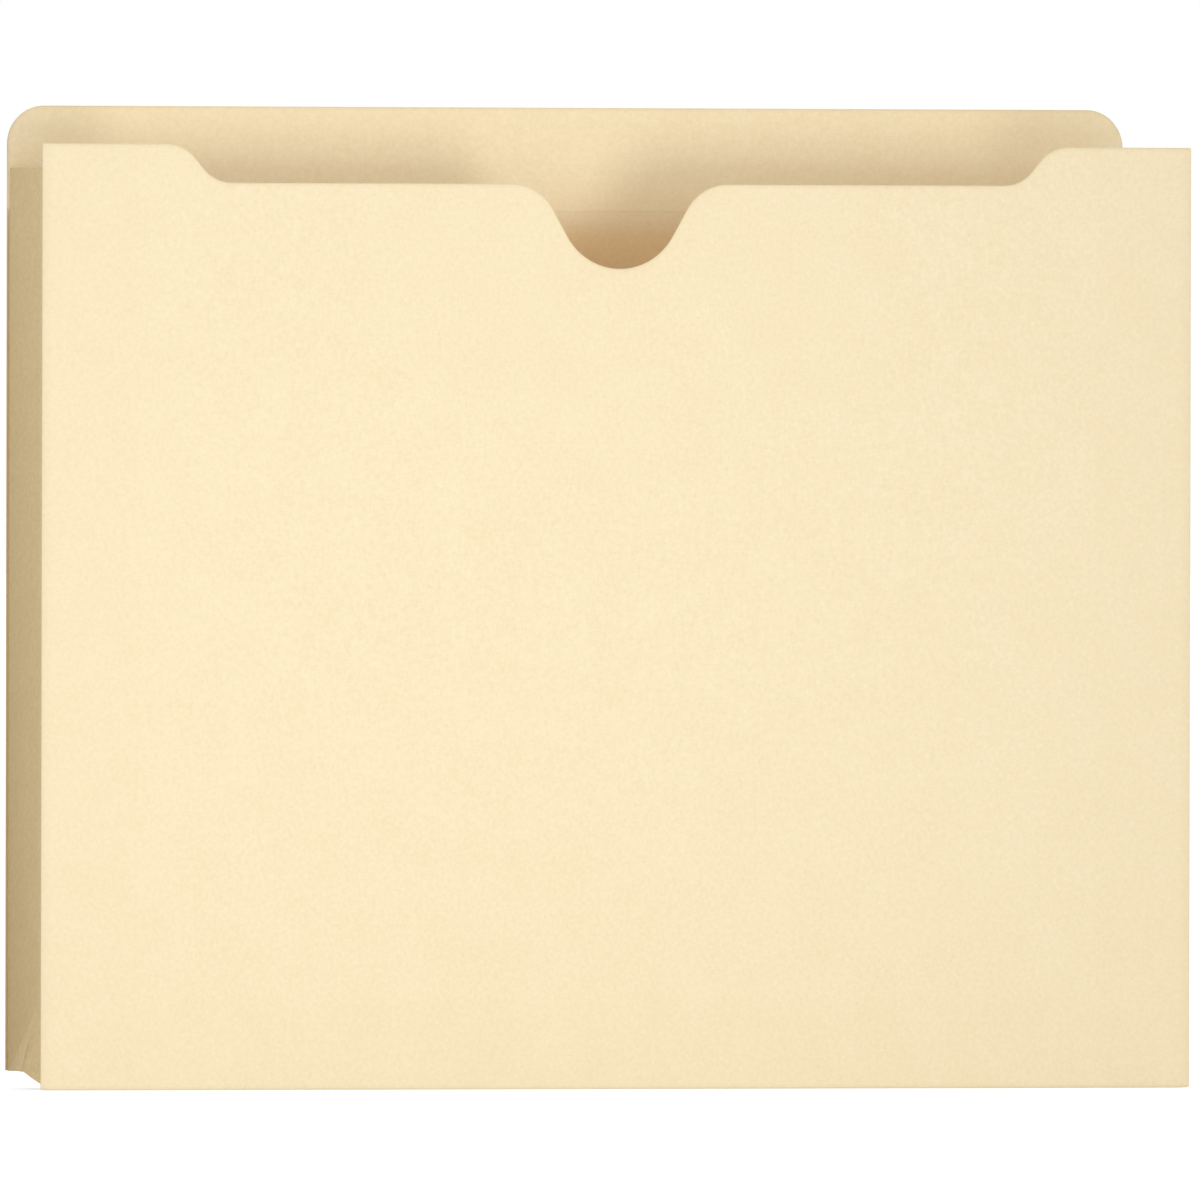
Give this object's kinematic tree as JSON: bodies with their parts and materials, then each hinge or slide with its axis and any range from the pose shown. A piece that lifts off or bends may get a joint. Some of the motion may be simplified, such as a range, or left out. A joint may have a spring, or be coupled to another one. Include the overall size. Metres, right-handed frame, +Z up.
{
  "type": "file jacket",
  "caption": "Open-top manila file jacket with a raised reinforced back tab, a thumb-cut front panel and inward-folding gussets at the sides and bottom that let it close flat.",
  "frame": {"origin": "on the surface the jacket stands on, under the middle of its box", "axes": "+Z up towards the tab, -Y out of the front panel, +X to the right seen from the front"},
  "size_m": [0.2984, 0.04, 0.2413],
  "materials": {
    "manila_panel": "matte",
    "manila_gusset": "matte",
    "dried_glue": "satin"
  },
  "bodies": {
    "back": {"back_panel": "manila_panel", "tab_ply": "manila_panel", "tab_glue": "dried_glue", "left_rear_flange": "manila_gusset", "right_rear_flange": "manila_gusset", "bottom_rear_flange": "manila_gusset", "left_rear_glue": "dried_glue", "right_rear_glue": "dried_glue", "bottom_rear_glue": "dried_glue", "left_corner_web": "manila_gusset", "right_corner_web": "manila_gusset"},
    "left_rear": {"left_gusset_rear": "manila_gusset"},
    "left_front": {"left_gusset_front": "manila_gusset"},
    "right_rear": {"right_gusset_rear": "manila_gusset"},
    "right_front": {"right_gusset_front": "manila_gusset"},
    "bottom_rear": {"bottom_gusset_rear": "manila_gusset"},
    "bottom_front": {"bottom_gusset_front": "manila_gusset"},
    "front": {"front_panel": "manila_panel", "left_front_flange": "manila_gusset", "right_front_flange": "manila_gusset", "bottom_front_flange": "manila_gusset", "left_front_glue": "dried_glue", "right_front_glue": "dried_glue", "bottom_front_glue": "dried_glue"}
  },
  "joints": [
    {"name": "left_rear_crease", "type": "hinge", "parent": "back", "child": "left_rear", "pos_m": [-0.14444, 0.01903, 0.115], "axis": [0, 0, 1], "range_deg": [-4.5, 85.5], "deforming": ["left_corner_web", "right_corner_web"]},
    {"name": "left_middle_crease", "type": "hinge", "parent": "left_rear", "child": "left_front", "pos_m": [-0.14343, 0, 0.115], "axis": [0, 0, 1], "range_deg": [-171, 9]},
    {"name": "left_front_crease", "type": "hinge", "parent": "left_front", "child": "front", "pos_m": [-0.14444, -0.01903, 0.115], "axis": [0, 0, 1], "range_deg": [-4.5, 85.5]},
    {"name": "right_rear_crease", "type": "hinge", "parent": "back", "child": "right_rear", "pos_m": [0.14444, 0.01903, 0.115], "axis": [0, 0, -1], "range_deg": [-4.5, 85.5]},
    {"name": "right_middle_crease", "type": "hinge", "parent": "right_rear", "child": "right_front", "pos_m": [0.14343, 0, 0.115], "axis": [0, 0, -1], "range_deg": [-171, 9]},
    {"name": "bottom_rear_crease", "type": "hinge", "parent": "back", "child": "bottom_rear", "pos_m": [0, 0.01903, 0.00158], "axis": [-1, 0, 0], "range_deg": [-4.5, 85.5]},
    {"name": "bottom_middle_crease", "type": "hinge", "parent": "bottom_rear", "child": "bottom_front", "pos_m": [0, 0, 0.0026], "axis": [-1, 0, 0], "range_deg": [-171, 9]}
  ],
  "couplings": [
    {"joint": "left_middle_crease", "follows": "left_rear_crease", "ratio": -2},
    {"joint": "left_front_crease", "follows": "left_rear_crease", "ratio": 1},
    {"joint": "right_rear_crease", "follows": "left_rear_crease", "ratio": 1},
    {"joint": "right_middle_crease", "follows": "left_rear_crease", "ratio": -2},
    {"joint": "bottom_rear_crease", "follows": "left_rear_crease", "ratio": 1},
    {"joint": "bottom_middle_crease", "follows": "left_rear_crease", "ratio": -2}
  ]
}
